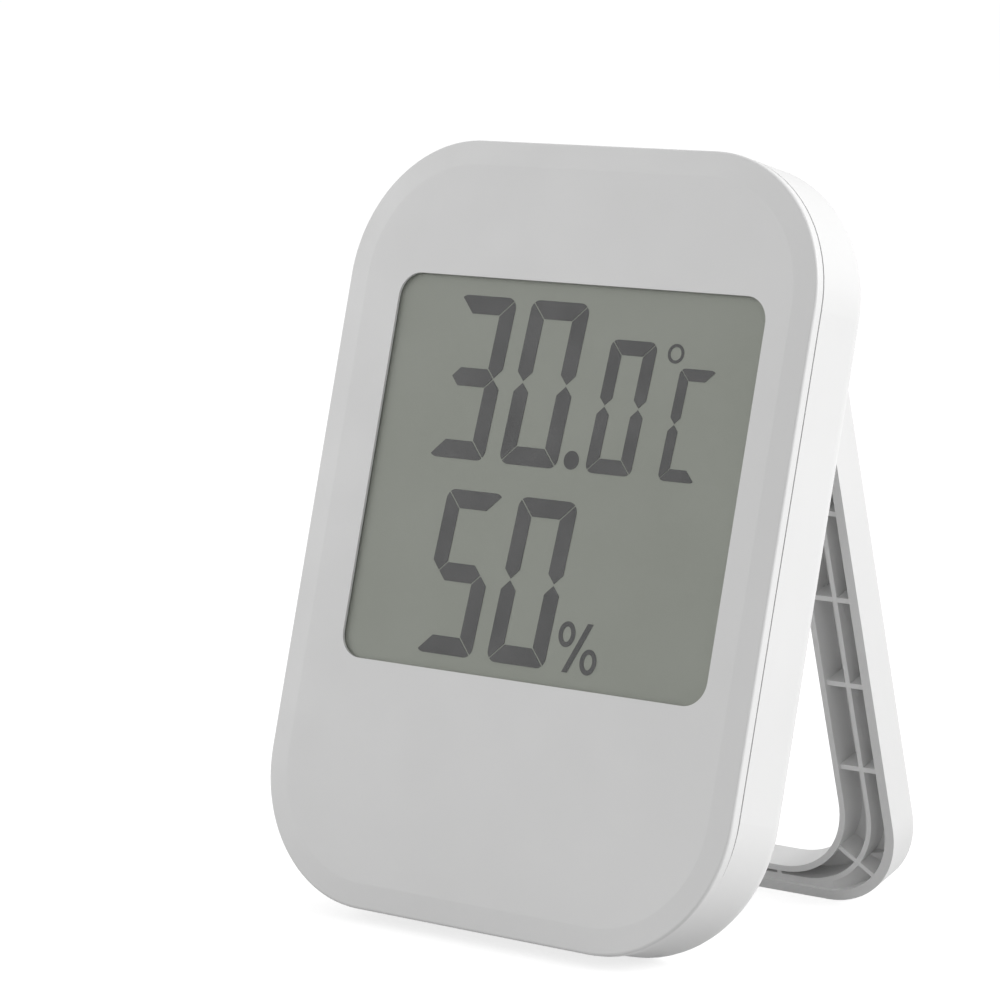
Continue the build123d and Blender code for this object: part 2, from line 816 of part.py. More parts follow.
def make_rear_cover():
    """Rear cover with the housing, battery tub, hinge ears, keyhole and vents."""
    cover = plate(case_width, case_height - rear_lift, case_corner, rear_front, case_depth,
                  0, rear_lift / 2)
    cover = fillet(cover.faces().sort_by(Axis.Z)[0].edges(), back_edge)
    hollow = plate(case_width - 2 * wall, case_height - 2 * wall, case_corner - wall,
                   rear_front - over, inner_back)
    hollow = fillet(hollow.faces().sort_by(Axis.Z)[0].edges(), back_edge / 2)
    cover -= hollow
    cover += make_housing()
    cover -= housing_hollow()
    for right, up in case_screw_places():
        radius = case_head_radius + case_head_gap
        cover += post(right, up, radius + case_head_wall, case_post_joint, inner_back)
        cover -= post(right, up, case_screw_radius + screw_slack, case_post_joint - over,
                      case_head_seat)
        cover -= post(right, up, radius, case_head_seat, case_depth + over)
    cover += make_battery_tub()
    cover -= battery_room()
    cover -= door_cut()
    cover -= post(0, button_up, button_radius + button_gap, housing_inner_back - over,
                  housing_back + over)
    cover -= post(0, keyhole_up, keyhole_radius, inner_back - over, case_depth + over)
    cover -= post(0, keyhole_up + keyhole_slot_length, keyhole_slot_radius,
                  inner_back - over, case_depth + over)
    cover -= centred_block(keyhole_slot_radius, keyhole_up, keyhole_up + keyhole_slot_length,
                           inner_back - over, case_depth + over)
    for i in range(vent_count):
        right = vent_right + (i - (vent_count - 1) / 2) * vent_pitch
        slot = Pos(right, sensor_up) * Rot(0, 0, 90) * SlotOverall(vent_length, vent_width)
        cover -= layer(slot, inner_back - over, case_depth + over)
    return cover


def housing_plate(inset, front, back):
    """A plate that follows the housing's outline, inset from its outside."""
    height = housing_top - housing_bottom - 2 * inset
    return plate(2 * (housing_half_width - inset), height, housing_corner - inset, front, back,
                 0, (housing_top + housing_bottom) / 2)


def hinge_ear(side, front):
    """Block beside the housing that carries one of the stand's pins."""
    inner, outer = sorted((side * (pin_hole_end - ear_end_wall), side * ear_half_width))
    return block(inner, outer, hinge_up - ear_half_height, hinge_up + ear_half_height,
                 front, housing_back)


def make_housing():
    """Raised housing with its two hinge ears."""
    housing = housing_plate(0, inner_back, housing_back)
    housing += hinge_ear(-1, inner_back) + hinge_ear(1, inner_back)
    housing = fillet(housing.faces().sort_by(Axis.Z)[0].edges(), housing_edge)
    return housing - hinge_hole(-1) - hinge_hole(1)


def housing_hollow():
    """Inside of the housing, open towards the case, clear of the hinge ears."""
    hollow = housing_plate(housing_wall, inner_back - over, housing_inner_back)
    return hollow - hinge_ear(-1, inner_back - 2 * over) - hinge_ear(1, inner_back - 2 * over)


def hinge_hole(side):
    """Blind hole for one of the stand's pins."""
    inner, outer = sorted((side * pin_hole_end, side * (ear_half_width + over)))
    return rod(inner, outer, hinge_up, hinge_depth, pin_radius + pin_clearance)


def make_battery_tub():
    """Walls round the battery, wider in the case's depth than in the housing."""
    low = cell_up - tub_outer_height
    high = cell_up + tub_outer_height
    deep = centred_block(tub_outer_length, low, high, tub_front, inner_back + wall / 2)
    return deep + centred_block(housing_inner_half + housing_wall / 2, low, high,
                                inner_back, tub_back)


def battery_room():
    """Space of the cell and its contacts, with slots for the contacts' tabs."""
    room = centred_block(tub_half_length, cell_up - tub_half_height, cell_up + tub_half_height,
                         tub_front + tub_floor, housing_back + over)
    room += centred_block(niche_end, cell_up - niche_half_height, cell_up + niche_half_height,
                          cell_depth - niche_half_height, niche_back)
    half = contact_thickness / 2 + contact_slack
    return room + centred_block(tub_outer_length + over, cell_up - tab_half_width - contact_slack,
                                cell_up + tab_half_width + contact_slack,
                                cell_depth - half, cell_depth + half)


def door_cut():
    """Opening for the battery door, with room for its heel and holes for its pins."""
    cut = centred_block(housing_inner_half, door_cut_bottom, door_top + door_gap,
                        tub_back, housing_back + over)
    cut += centred_block(housing_inner_half, door_cut_bottom, cell_up - tub_outer_height,
                         door_pin_depth - door_heel - door_gap, housing_back)
    reach = door_half_width + door_pin_length + door_gap
    return cut + rod(-reach, reach, door_pin_up, door_pin_depth,
                     door_pin_radius + door_pin_clearance)


def make_battery_door():
    """Door that tilts about two pins at its lower edge, with ribs that keep the cell down."""
    door = centred_block(door_half_width, door_pin_up, door_top, door_inner, housing_back)
    door += rod(-door_half_width, door_half_width, door_pin_up, door_pin_depth, door_heel)
    reach = door_half_width + door_pin_length
    door += rod(-reach, reach, door_pin_up, door_pin_depth, door_pin_radius)
    for side in (-1, 1):
        rib = centred_block(door_rib_width / 2, cell_up - door_rib_half_height,
                            cell_up + door_rib_half_height, cell_depth, door_inner,
                            side * door_rib_right)
        door += rib - rod(-door_half_width, door_half_width, cell_up, cell_depth,
                          cell_radius + door_gap)
    grip = centred_block(grip_width / 2, door_top - grip_height, door_top + over,
                         housing_back - grip_depth, housing_back + over)
    return door - grip


def loop_face(side_inset, foot_inset, corner, top):
    """Area inside the stand's outline, set in from its sides and its foot."""
    spread = stand_spread / stand_reach
    foot_half = stand_half_foot - side_inset
    top_half = foot_half + spread * (stand_reach + top)
    low_half = foot_half + spread * foot_inset
    foot = foot_inset - stand_reach
    outline = make_face(Polyline((-top_half, top), (-low_half, foot), (low_half, foot),
                                 (top_half, top), close=True))
    return fillet(outline.vertices().group_by(Axis.Y)[0], corner)


def loop_layer(face, low, high):
    """Extrudes an area of the stand between two heights of its depth."""
    return extrude(Pos(0, 0, low) * face, high - low)


def make_stand():
    """Loop stand: a channel open towards the case, stiffened by ribs, with two hinge pins."""
    top = heel_height + over
    outer = loop_face(0, 0, stand_outer_corner, top)
    window = loop_face(leg_width, bar_width, stand_window_corner, top + over)
    stand = loop_layer(outer - window, stand_back, stand_front)
    stand = fillet(stand.faces().sort_by(Axis.Z)[0].edges(), stand_edge)
    stand -= channel()
    stand += ribs()
    stand &= side_profile()
    for side in (-1, 1):
        inner, outer = sorted((side * pin_end, side * (leg_inner_hinge + stand_inner_wall)))
        stand += rod(inner, outer, 0, 0, pin_radius)
    return stand


def channel():
    """Hollow between the outer and the inner wall of the loop."""
    corner = stand_outer_corner - stand_outer_wall
    hollow = loop_face(stand_outer_wall, stand_outer_wall, corner, -channel_end)
    hollow -= loop_face(leg_width - stand_inner_wall, bar_width - stand_inner_wall,
                        stand_window_corner + stand_inner_wall, 0)
    return loop_layer(hollow, stand_back + stand_floor, stand_front + over)


def ribs():
    """Middle rib round the loop, cross ribs and corner ribs, and the filled foot."""
    rib_outside = loop_face(mid_rib_side, mid_rib_foot, mid_rib_corner, -channel_end)
    middle = rib_outside - loop_face(mid_rib_side + rib_thickness, mid_rib_foot + rib_thickness,
                                     mid_rib_corner - rib_thickness, 0)
    low = stand_back + stand_floor
    high = stand_front - rib_recess
    shapes = loop_layer(middle, low, high)
    in_outer = stand_outer_wall / 2
    in_inner = stand_inner_wall / 2
    band = loop_face(in_outer, in_outer, stand_outer_corner - in_outer, 0)
    shapes += loop_layer(band - rib_outside, low, high) & foot_pad_wedge(low, high)
    band -= loop_face(leg_width - in_inner, bar_width - in_inner,
                      stand_window_corner + in_inner, over)
    for strip in leg_strips() + bar_strips() + corner_strips():
        shapes += loop_layer(band & strip, low, high)
    return shapes


def foot_pad_wedge(low, high):
    """Space of the filled foot, with sloping ends."""
    top = foot_pad_half_width
    foot = top + foot_pad_slope
    plane = Plane(origin=(0, -stand_reach, 0), x_dir=(1, 0, 0), z_dir=(0, -1, 0))
    outline = make_face(Polyline((-foot, low), (foot, low), (top, high), (-top, high), close=True))
    return extrude(plane * outline, -stand_outer_corner / 2)


def leg_strips():
    """Strips of the ribs that cross both legs."""
    strips = []
    for i in range(rib_count):
        up = first_rib + i * rib_pitch - stand_reach
        strips.append(Pos(0, up) * Rectangle(2 * stand_half_hinge, rib_thickness))
    return strips


def bar_strips():
    """Strips of the ribs that cross the foot bar."""
    strips = []
    for i in range(bar_rib_count):
        right = (i - (bar_rib_count - 1) / 2) * bar_rib_pitch
        strips.append(Pos(right, bar_width / 2 - stand_reach) * Rectangle(rib_thickness, bar_width))
    return strips


def corner_strips():
    """Strips of the ribs that cross the two corners, away from the window's corner centres."""
    rise = bar_width + stand_window_corner
    across = window_half_foot - stand_window_corner + stand_spread * rise / stand_reach
    strips = []
    for side in (-1, 1):
        strip = Pos(side * stand_outer_corner, 0) * Rectangle(2 * stand_outer_corner, rib_thickness)
        turned = Rot(0, 0, -side * corner_rib_turn) * strip
        strips.append(Pos(side * across, rise - stand_reach) * turned)
    return strips


def side_profile():
    """The stand seen from the side: its heel is cut to rest on the back when it is open."""
    turn = radians(stand_angle)
    stop_start = (stand_front * sin(turn), stand_front * cos(turn))
    stop_end = (heel_height, (stand_front - heel_height * sin(turn)) / cos(turn))
    low = -stand_reach - over
    arc_middle = (stand_front * sin(turn / 2), stand_front * cos(turn / 2))
    half_width = 2 * stand_half_hinge
    plane = Plane(origin=(-half_width, 0, 0), x_dir=(0, 1, 0), z_dir=(1, 0, 0))
    outline = Polyline((0, stand_front), (low, stand_front), (low, stand_back),
                       (heel_height, stand_back), stop_end, stop_start)
    arc = ThreePointArc(stop_start, arc_middle, (0, stand_front))
    profile = make_face([outline, arc])
    heel_corner = profile.vertices().sort_by_distance((heel_height, stand_back, 0))[0]
    return extrude(plane * fillet(heel_corner, heel_round), 2 * half_width)


case_parts = {
    "front_cover": make_front_cover,
    "display_lens": make_display_lens,
    "lens_tape": make_lens_tape,
    "lcd_polariser": make_lcd_polariser,
    "lcd_front_glass": make_lcd_front_glass,
    "lcd_segments": make_lcd_segments,
    "lcd_rear_glass": make_lcd_rear_glass,
    "lcd_reflector": make_lcd_reflector,
    "lcd_holder": make_lcd_holder,
    "contact_strip": make_contact_strip,
    "circuit_board": make_circuit_board,
    "board_screws": make_board_screws,
    "controller_blob": make_controller_blob,
    "crystal_can": make_crystal_can,
    "chip_parts": make_chip_parts,
    "buffer_capacitor": make_buffer_capacitor,
    "humidity_sensor": make_humidity_sensor,
    "thermistor": make_thermistor,
    "tact_switch": make_tact_switch,
    "switch_plunger": make_switch_plunger,
    "unit_button": make_unit_button,
    "battery_cell": make_battery_cell,
    "plus_contact": make_plus_contact,
    "minus_contact": make_minus_contact,
    "minus_spring": make_minus_spring,
    "battery_door": make_battery_door,
    "rear_cover": make_rear_cover,
    "case_screws": make_case_screws,
}

os.makedirs("parts", exist_ok=True)
nodes = {name: case_place * make() for name, make in case_parts.items()}
nodes["plus_lead"] = case_place * make_lead(1)
nodes["minus_lead"] = case_place * make_lead(-1)
nodes["stand"] = stand_place * make_stand()
for name, shape in nodes.items():
    export_step(shape, "parts/" + name + ".step")
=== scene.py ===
"""White desk thermometer and hygrometer with a segment display and a ribbed loop stand.

The CAD nodes keep their places and get their finishes here. The window and the display, the case
screws, the battery cell and the ridges in the battery door's finger hollow are modelled here with
more detail than the solids have. All lengths are in metres.
"""

import json

import bmesh
import bpy
from math import pi, radians
from mathutils import Matrix, Vector


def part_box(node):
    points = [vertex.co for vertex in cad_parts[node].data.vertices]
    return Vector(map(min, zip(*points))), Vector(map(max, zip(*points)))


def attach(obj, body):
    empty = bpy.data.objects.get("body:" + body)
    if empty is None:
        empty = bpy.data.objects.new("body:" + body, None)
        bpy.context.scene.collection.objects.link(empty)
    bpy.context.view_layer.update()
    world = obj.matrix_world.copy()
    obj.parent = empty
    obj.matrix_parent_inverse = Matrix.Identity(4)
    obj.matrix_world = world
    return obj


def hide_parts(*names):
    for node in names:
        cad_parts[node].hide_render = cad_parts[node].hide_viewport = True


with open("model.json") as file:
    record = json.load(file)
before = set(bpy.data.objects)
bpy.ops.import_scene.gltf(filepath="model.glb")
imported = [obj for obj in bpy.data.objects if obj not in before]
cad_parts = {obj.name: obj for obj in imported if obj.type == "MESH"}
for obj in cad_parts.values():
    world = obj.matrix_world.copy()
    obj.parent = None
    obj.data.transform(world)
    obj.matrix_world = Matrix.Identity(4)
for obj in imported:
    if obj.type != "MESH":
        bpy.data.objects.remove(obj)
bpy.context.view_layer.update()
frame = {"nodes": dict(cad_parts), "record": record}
nodes = frame["nodes"]

mm = 0.001
merge_gap = 0.001 * mm            # points closer than this are one point

# The case leans back by this much, and the lens's middle lies here in the face's frame
case_lean = radians(14.73)
lens_right = 1.275 * mm
lens_up = 7.65 * mm
lens_depth = 0.75 * mm

# Case screws, in the face's frame, with their heads' seats as a depth behind the face
screw_right = 30.875 * mm
screw_up = 44.9 * mm
screw_seat = 10.4 * mm
screw_head_radius = 2.1 * mm
screw_head_height = 1.4 * mm
screw_head_edge = 0.5 * mm
screw_shank_radius = 1.1 * mm
screw_shank_length = 7.7 * mm
screw_tip_length = 1.2 * mm
screw_tip_share = 0.35
recess_half_length = 1.25 * mm
recess_half_width = 0.3 * mm
recess_depth = 0.9 * mm
recess_foot_share = 0.55
screw_segments = 40

# Battery cell, in the face's frame
cell_up = -31.7 * mm
cell_depth = 8.2 * mm
cell_base = -21.65 * mm
cell_shoulder = 22.05 * mm
cell_radius = 5.25 * mm
cell_edge = 0.6 * mm
cell_nub_radius = 1.9 * mm
cell_nub_length = 0.8 * mm
cell_nub_edge = 0.3 * mm
cell_crimp_depth = 0.18 * mm
cell_crimp_inset = 1.6 * mm
cell_crimp_half_width = 0.35 * mm
cell_groove_radius = 3.6 * mm
cell_groove_depth = 0.3 * mm
cell_band_start = 11.4 * mm       # pale band at the plus end
cell_band_end = 11.5 * mm
cell_segments = 72

# Window and display: a thin clear sheet, then the dark figures, then a grey-green film
sheet_half_width = 33.6 * mm
sheet_half_height = 29.1 * mm
sheet_corner = 4.6 * mm
sheet_corner_segments = 8
window_sheet_depth = 0.5 * mm
window_sheet_thickness = 0.1 * mm
film_depth = 0.68 * mm
figures_forward = 1.93 * mm      # how far the figures come forward from their place in the panel

# Ridges in the door's finger hollow
ridge_count = 3
ridge_half_length = 4.8 * mm
ridge_half_width = 0.22 * mm
ridge_rise = 0.42 * mm
ridge_pitch = 0.8 * mm
ridge_first_up = -27.9 * mm
ridge_floor = 17.55 * mm
ridge_edge = 0.12 * mm

# Depths of the fine relief on each finish
moulded_grain_depth = 0.02 * mm
plain_grain_depth = 0.01 * mm
film_grain_depth = 0.005 * mm
brushed_line_depth = 0.01 * mm
track_depth = 0.03 * mm
sleeve_crease_depth = 0.02 * mm

# Camera, as fitted to the case's edges, its window and the stand
view_azimuth = radians(39.505)
view_elevation = radians(8.041)
view_distance = 0.5834
view_left = 4.31 * mm            # the view's middle lies left of the face's middle
view_rise = 4.91 * mm
view_lens = 151.985
sensor_width = 36
clip_near = 0.01
clip_far = 30

# Studio
floor_half = 8
world_light = 0.535
key_place = (1.22, 0.6, 0.72)
key_size = 0.8
key_power = 16.4
fill_place = (-1.2, -0.8, 0.6)
fill_size = 1.0
fill_power = 6.5
lamp_target = (0, 0, 0.05)
floor_plain = 0.48
floor_shown = 0.5
floor_glow = 0.75


def face_frame():
    """The face's own frame: X right, Y up the face, Z out of it."""
    low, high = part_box("display_lens")
    lens_middle = (Vector(low) + Vector(high)) / 2
    turn = Matrix.Rotation(radians(90) - case_lean, 4, "X")
    from_face = turn @ Vector((lens_right, lens_up, -lens_depth))
    return Matrix.Translation(lens_middle - from_face) @ turn


face = face_frame()


# Materials

def new_material(name):
    """A new material with its node tree, its shader and its coordinates."""
    material = bpy.data.materials.new(name)
    material.use_nodes = True
    tree = material.node_tree
    shader = tree.nodes["Principled BSDF"]
    coordinates = tree.nodes.new("ShaderNodeTexCoord")
    return material, tree, shader, coordinates.outputs["Object"]


def noise(tree, place, scale, detail=3, roughness=0.5):
    """Noise on the piece's own coordinates."""
    texture = tree.nodes.new("ShaderNodeTexNoise")
    texture.inputs["Scale"].default_value = scale
    texture.inputs["Detail"].default_value = detail
    texture.inputs["Roughness"].default_value = roughness
    tree.links.new(place, texture.inputs["Vector"])
    return texture.outputs["Fac"]


def spread(tree, value, low, high, start=0.35, end=0.65):
    """Maps a texture's value to a range."""
    mapping = tree.nodes.new("ShaderNodeMapRange")
    mapping.inputs["From Min"].default_value = start
    mapping.inputs["From Max"].default_value = end
    mapping.inputs["To Min"].default_value = low
    mapping.inputs["To Max"].default_value = high
    tree.links.new(value, mapping.inputs["Value"])
    return mapping.outputs["Result"]


def tones(tree, value, dark, light, start=0.35, end=0.65):
    """Colour between two tones by a texture's value."""
    colours = tree.nodes.new("ShaderNodeValToRGB")
    colours.color_ramp.elements[0].position = start
    colours.color_ramp.elements[0].color = (*dark, 1)
    colours.color_ramp.elements[1].position = end
    colours.color_ramp.elements[1].color = (*light, 1)
    tree.links.new(value, colours.inputs["Fac"])
    return colours.outputs["Color"]


def relief(tree, shader, value, strength, distance):
    """Fine relief from a texture."""
    bump = tree.nodes.new("ShaderNodeBump")
    bump.inputs["Strength"].default_value = strength
    bump.inputs["Distance"].default_value = distance
    tree.links.new(value, bump.inputs["Height"])
    tree.links.new(bump.outputs["Normal"], shader.inputs["Normal"])


def moulded_plastic(name, dark, light, roughness, grain):
    """Satin moulded plastic: faint cloudiness in its tone, uneven gloss and a fine grain."""
    material, tree, shader, place = new_material(name)
    tree.links.new(tones(tree, noise(tree, place, scale=40), dark, light), shader.inputs["Base Color"])
    smear = noise(tree, place, scale=90, detail=5)
    gloss = spread(tree, smear, roughness - 0.05, roughness + 0.05)
    tree.links.new(gloss, shader.inputs["Roughness"])
    fine = noise(tree, place, scale=6500, detail=2)
    relief(tree, shader, fine, grain, moulded_grain_depth)
    return material


def plain_finish(name, colour, roughness, grain=0.05, grain_scale=3000):
    """One colour with a fine grain and a slightly uneven gloss."""
    material, tree, shader, place = new_material(name)
    shader.inputs["Base Color"].default_value = (*colour, 1)
    smear = noise(tree, place, scale=150)
    tree.links.new(spread(tree, smear, roughness * 0.9, roughness * 1.1), shader.inputs["Roughness"])
    relief(tree, shader, noise(tree, place, grain_scale), grain, plain_grain_depth)
    return material


def clear_sheet(name, tint, cover, roughness):
    """Clear sheet that lets most light through and keeps a faint gloss."""
    material, tree, shader, place = new_material(name)
    shader.inputs["Base Color"].default_value = (*tint, 1)
    shader.inputs["Alpha"].default_value = cover
    smear = noise(tree, place, scale=120)
    tree.links.new(spread(tree, smear, roughness * 0.8, roughness * 1.2), shader.inputs["Roughness"])
    return material


def display_ground():
    """Grey-green film behind the dark figures, with the faintest mottling."""
    material, tree, shader, place = new_material("display_ground")
    cloud = noise(tree, place, scale=70, detail=4)
    tree.links.new(tones(tree, cloud, (0.329, 0.346, 0.303), (0.343, 0.360, 0.318)),
                   shader.inputs["Base Color"])
    shader.inputs["Roughness"].default_value = 0.7
    shader.inputs["Specular IOR Level"].default_value = 0.2
    fine = noise(tree, place, scale=9000)
    relief(tree, shader, fine, strength=0.02, distance=film_grain_depth)
    return material


def brushed_metal(name, colour, roughness, stretch=(1, 1, 18)):
    """Metal with fine lines along one way and a few dull smears."""
    material, tree, shader, place = new_material(name)
    mapping = tree.nodes.new("ShaderNodeMapping")
    mapping.inputs["Scale"].default_value = stretch
    tree.links.new(place, mapping.inputs["Vector"])
    lines = noise(tree, mapping.outputs["Vector"], scale=900, detail=4)
    darker = tuple(tone * 0.86 for tone in colour)
    tree.links.new(tones(tree, lines, darker, colour), shader.inputs["Base Color"])
    shader.inputs["Metallic"].default_value = 1
    smear = noise(tree, place, scale=220)
    tree.links.new(spread(tree, smear, roughness * 0.8, roughness * 1.25), shader.inputs["Roughness"])
    relief(tree, shader, lines, strength=0.1, distance=brushed_line_depth)
    return material


def board_laminate():
    """Green lacquered board with paler copper tracks under the lacquer."""
    material, tree, shader, place = new_material("board_laminate")
    tracks = tree.nodes.new("ShaderNodeTexBrick")
    tracks.inputs["Scale"].default_value = 160
    tracks.inputs["Mortar Size"].default_value = 0.03
    tracks.inputs["Color1"].default_value = (0.02, 0.13, 0.05, 1)
    tracks.inputs["Color2"].default_value = (0.025, 0.15, 0.06, 1)
    tracks.inputs["Mortar"].default_value = (0.07, 0.25, 0.1, 1)
    tree.links.new(place, tracks.inputs["Vector"])
    tree.links.new(tracks.outputs["Color"], shader.inputs["Base Color"])
    shader.inputs["Coat Weight"].default_value = 0.4
    smear = noise(tree, place, scale=200)
    tree.links.new(spread(tree, smear, low=0.3, high=0.42), shader.inputs["Roughness"])
    relief(tree, shader, tracks.outputs["Fac"], strength=0.2, distance=track_depth)
    return material


def cell_sleeve():
    """Printed sleeve of the cell: dark for most of its length, with a pale band at its plus end."""
    material, tree, shader, place = new_material("cell_sleeve")
    axes = tree.nodes.new("ShaderNodeSeparateXYZ")
    tree.links.new(place, axes.inputs["Vector"])
    along = spread(tree, axes.outputs["X"], 0, 1, cell_band_start, cell_band_end)
    band = tones(tree, along, (0.035, 0.04, 0.05), (0.55, 0.4, 0.16), start=0, end=1)
    tree.links.new(band, shader.inputs["Base Color"])
    smear = noise(tree, place, scale=180)
    tree.links.new(spread(tree, smear, low=0.22, high=0.34), shader.inputs["Roughness"])
    creases = noise(tree, place, scale=1200)
    relief(tree, shader, creases, strength=0.04, distance=sleeve_crease_depth)
    return material


def make_finishes():
    """A finish for each of the record's material slots."""
    return {
        "white_plastic": moulded_plastic(
            "white_moulded_plastic", (0.790, 0.790, 0.788), (0.808, 0.808, 0.806),
            roughness=0.44, grain=0.14),
        "grey_plastic": moulded_plastic(
            "grey_button_plastic", (0.50, 0.51, 0.52), (0.53, 0.54, 0.55), roughness=0.4, grain=0.1),
        "clear_lens": clear_sheet("clear_lens_sheet", (0.9, 0.92, 0.9), cover=0.03, roughness=0.14),
        "black_tape": plain_finish("lens_tape_black", (0.03, 0.03, 0.03), roughness=0.8),
        "polariser_film": clear_sheet("polariser_film", (0.4, 0.42, 0.36), cover=0.05, roughness=0.4),
        "panel_glass": clear_sheet("panel_glass", (0.8, 0.85, 0.8), cover=0.03, roughness=0.1),
        "segment_ink": plain_finish("segment_dark", (0.029, 0.029, 0.030), roughness=0.6),
        "reflector_film": plain_finish("reflector_film", (0.4, 0.42, 0.37), roughness=0.5),
        "holder_plastic": moulded_plastic(
            "holder_plastic", (0.58, 0.58, 0.56), (0.62, 0.62, 0.60), roughness=0.55, grain=0.1),
        "strip_rubber": plain_finish("strip_rubber", (0.30, 0.26, 0.30), roughness=0.8, grain=0.2),
        "board_laminate": board_laminate(),
        "screw_steel": brushed_metal("screw_steel", (0.55, 0.55, 0.56), roughness=0.3),
        "black_resin": plain_finish("black_resin", (0.012, 0.012, 0.012), roughness=0.25, grain=0.02),
        "can_metal": brushed_metal("can_metal", (0.7, 0.7, 0.7), roughness=0.28),
        "chip_ceramic": plain_finish("chip_ceramic", (0.16, 0.11, 0.07), roughness=0.55, grain=0.2),
        "sensor_plastic": moulded_plastic(
            "sensor_plastic", (0.55, 0.62, 0.72), (0.6, 0.67, 0.77), roughness=0.5, grain=0.1),
        "switch_steel": brushed_metal("switch_steel", (0.6, 0.6, 0.6), roughness=0.32),
        "cell_can": cell_sleeve(),
        "contact_steel": brushed_metal("contact_steel", (0.66, 0.64, 0.58), roughness=0.26),
        "red_wire": plain_finish("red_wire", (0.45, 0.02, 0.02), roughness=0.45),
        "black_wire": plain_finish("black_wire", (0.02, 0.02, 0.02), roughness=0.45),
    }


# Pieces

def finish_node(name, material):
    """Gives a CAD node its finish."""
    piece = nodes[name]
    piece.data.materials.clear()
    piece.data.materials.append(material)


def new_piece(name, mesh, materials, body):
    """Makes a mesh an object, with its place in its mesh, that rides on a body."""
    bmesh.ops.recalc_face_normals(mesh, faces=mesh.faces)
    data = bpy.data.meshes.new(name)
    mesh.to_mesh(data)
    mesh.free()
    for material in materials:
        data.materials.append(material)
    piece = bpy.data.objects.new(name, data)
    bpy.context.scene.collection.objects.link(piece)
    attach(piece, body)
    return piece


def smooth_faces(mesh, sharp_angle=radians(35)):
    """Smooth shading, with edges kept sharp where faces meet at more than an angle."""
    for surface in mesh.faces:
        surface.smooth = True
    for edge in mesh.edges:
        if len(edge.link_faces) == 2 and edge.calc_face_angle() > sharp_angle:
            edge.smooth = False


def cross_plate(mesh, height):
    """Five joined faces in the shape of a cross, and the edges round them."""
    grid = bmesh.ops.create_grid(mesh, x_segments=3, y_segments=3, size=recess_half_length)
    corners = []
    for vertex in grid["verts"]:
        for axis in (0, 1):
            if abs(vertex.co[axis]) < recess_half_length / 2:
                side = 1 if vertex.co[axis] > 0 else -1
                vertex.co[axis] = side * recess_half_width
        vertex.co.z = height
    plate = {surface for vertex in grid["verts"] for surface in vertex.link_faces}
    for surface in plate:
        middle = surface.calc_center_median()
        if min(abs(middle.x), abs(middle.y)) > recess_half_width:
            corners.append(surface)
    bmesh.ops.delete(mesh, geom=corners, context="FACES")
    cross = [surface for surface in plate if surface.is_valid]
    edges = {edge for surface in cross for edge in surface.edges}
    return cross, [edge for edge in edges if len(edge.link_faces) == 1]


def screw_head(mesh):
    """Round head with a soft edge and a cross recess, its seat at height 0."""
    ring = bmesh.ops.create_circle(
        mesh, cap_ends=False, segments=screw_segments, radius=screw_head_radius)
    seat = {edge for vertex in ring["verts"] for edge in vertex.link_edges}
    wall = bmesh.ops.extrude_edge_only(mesh, edges=list(seat))
    upper = [item for item in wall["geom"] if isinstance(item, bmesh.types.BMVert)]
    bmesh.ops.translate(mesh, verts=upper, vec=(0, 0, screw_head_height))
    rim = [item for item in wall["geom"] if isinstance(item, bmesh.types.BMEdge)
           and all(vertex in upper for vertex in item.verts)]
    cross, border = cross_plate(mesh, screw_head_height)
    bmesh.ops.bridge_loops(mesh, edges=rim + border)
    bmesh.ops.bevel(mesh, geom=rim, offset=screw_head_edge, segments=4, profile=0.5,
                    affect="EDGES", material=-1)
    recess = bmesh.ops.extrude_face_region(mesh, geom=cross)
    floor = [item for item in recess["geom"] if isinstance(item, bmesh.types.BMVert)]
    bmesh.ops.delete(mesh, geom=cross, context="FACES_ONLY")
    bmesh.ops.translate(mesh, verts=floor, vec=(0, 0, -recess_depth))
    shrink = Vector((recess_foot_share, recess_foot_share, 1))
    bmesh.ops.scale(mesh, verts=floor, vec=shrink)


def screw_shank(mesh):
    """Shank below the seat, with a tapered tip."""
    length = screw_shank_length - screw_tip_length
    shank = bmesh.ops.create_cone(
        mesh, cap_ends=False, segments=screw_segments, radius1=screw_shank_radius,
        radius2=screw_shank_radius, depth=length)
    bmesh.ops.translate(mesh, verts=shank["verts"], vec=(0, 0, -length / 2))
    tip = bmesh.ops.create_cone(
        mesh, cap_ends=True, segments=screw_segments, radius1=screw_shank_radius * screw_tip_share,
        radius2=screw_shank_radius, depth=screw_tip_length)
    bmesh.ops.translate(mesh, verts=tip["verts"], vec=(0, 0, -length - screw_tip_length / 2))


def round_cornered_sheet():
    """Flat sheet with round corners, as large as the window's pocket."""
    mesh = bmesh.new()
    bmesh.ops.create_grid(mesh, x_segments=1, y_segments=1, size=1)
    bmesh.ops.scale(mesh, verts=mesh.verts, vec=(sheet_half_width, sheet_half_height, 1))
    bmesh.ops.bevel(mesh, geom=mesh.verts[:], offset=sheet_corner, segments=sheet_corner_segments,
                    profile=0.5, affect="VERTICES", material=-1)
    return mesh


def place_in_window(mesh, depth):
    """Puts a sheet at a depth behind the face, in the window's middle."""
    spot = Matrix.Translation((lens_right, lens_up, -depth))
    bmesh.ops.transform(mesh, matrix=face @ spot, verts=mesh.verts)


def make_window_sheet(material):
    """Thin clear sheet in the window, with the display bonded right behind it."""
    mesh = round_cornered_sheet()
    walls = bmesh.ops.extrude_face_region(mesh, geom=mesh.faces[:])
    back = [item for item in walls["geom"] if isinstance(item, bmesh.types.BMVert)]
    bmesh.ops.translate(mesh, verts=back, vec=(0, 0, -window_sheet_thickness))
    place_in_window(mesh, window_sheet_depth)
    sheet = new_piece("window_sheet", mesh, [material], "case")
    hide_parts("display_lens")


